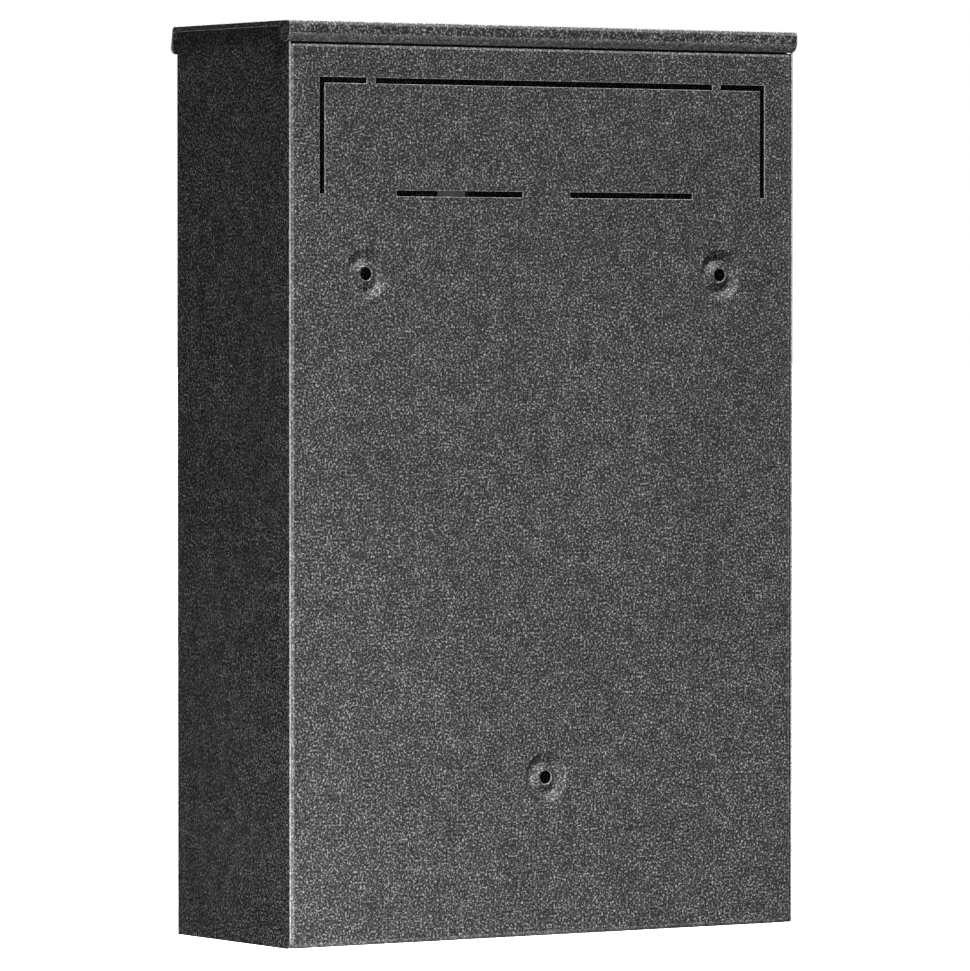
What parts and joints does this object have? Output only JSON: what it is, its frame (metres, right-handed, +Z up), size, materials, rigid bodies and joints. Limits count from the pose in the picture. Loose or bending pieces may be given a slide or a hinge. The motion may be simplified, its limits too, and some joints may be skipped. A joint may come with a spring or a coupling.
{
  "type": "wall mounted mailbox",
  "caption": "Slim steel wall mailbox with a hinged top lid over the letter mouth, a bottom-hinged front door with a cam lock, and a perforated knock-out flap in the back.",
  "frame": {"origin": "on the back panel's rear face, midway between the two upper fixing holes", "axes": "+Z up, +Y towards the wall, +X to the right seen from the front"},
  "size_m": [0.2468, 0.0941, 0.37],
  "materials": {
    "hammered_enamel": "hammered dark grey enamel",
    "zinc_plate": "zinc plated",
    "lock_chrome": "satin chrome",
    "nylon": "natural nylon",
    "buffer_rubber": "matt black",
    "frame_plastic": "semi-gloss black",
    "card_paper": "matt white card",
    "clear_window": "clear plastic sheet"
  },
  "bodies": {
    "cabinet": {"back_panel": "hammered_enamel", "floor_pan": "hammered_enamel", "left_side_wall": "hammered_enamel", "right_side_wall": "hammered_enamel", "upper_fascia": "hammered_enamel", "lower_apron": "hammered_enamel", "lid_hinge_rod": "zinc_plate", "lid_buffers": "buffer_rubber", "door_hinge_rod": "zinc_plate", "left_hinge_bracket": "hammered_enamel", "right_hinge_bracket": "hammered_enamel"},
    "lid_body": {"lid": "hammered_enamel", "lid_hinge_bushes": "nylon"},
    "door": {"door_panel": "hammered_enamel", "door_stiffener": "hammered_enamel", "lock_plate": "hammered_enamel", "lock_housing": "lock_chrome", "lock_nut": "zinc_plate", "nameplate_frame": "frame_plastic", "name_card": "card_paper", "nameplate_window": "clear_window", "nameplate_rivets": "zinc_plate"},
    "lock_cylinder": {"lock_plug": "lock_chrome", "lock_cam": "zinc_plate", "cam_washer": "zinc_plate", "cam_screw": "zinc_plate"}
  },
  "joints": [
    {"name": "lid_hinge", "type": "hinge", "parent": "cabinet", "child": "lid_body", "pos_m": [0, -0.0022, 0.0965], "axis": [-1, 0, 0], "range_deg": [0, 70]},
    {"name": "door_hinge", "type": "hinge", "parent": "cabinet", "child": "door", "pos_m": [0, -0.0845, -0.2059], "axis": [1, 0, 0], "range_deg": [0, 100]},
    {"name": "lock_turn", "type": "hinge", "parent": "door", "child": "lock_cylinder", "pos_m": [0, -0.084, 0.0488], "axis": [0, 1, 0], "range_deg": [0, 180]}
  ]
}
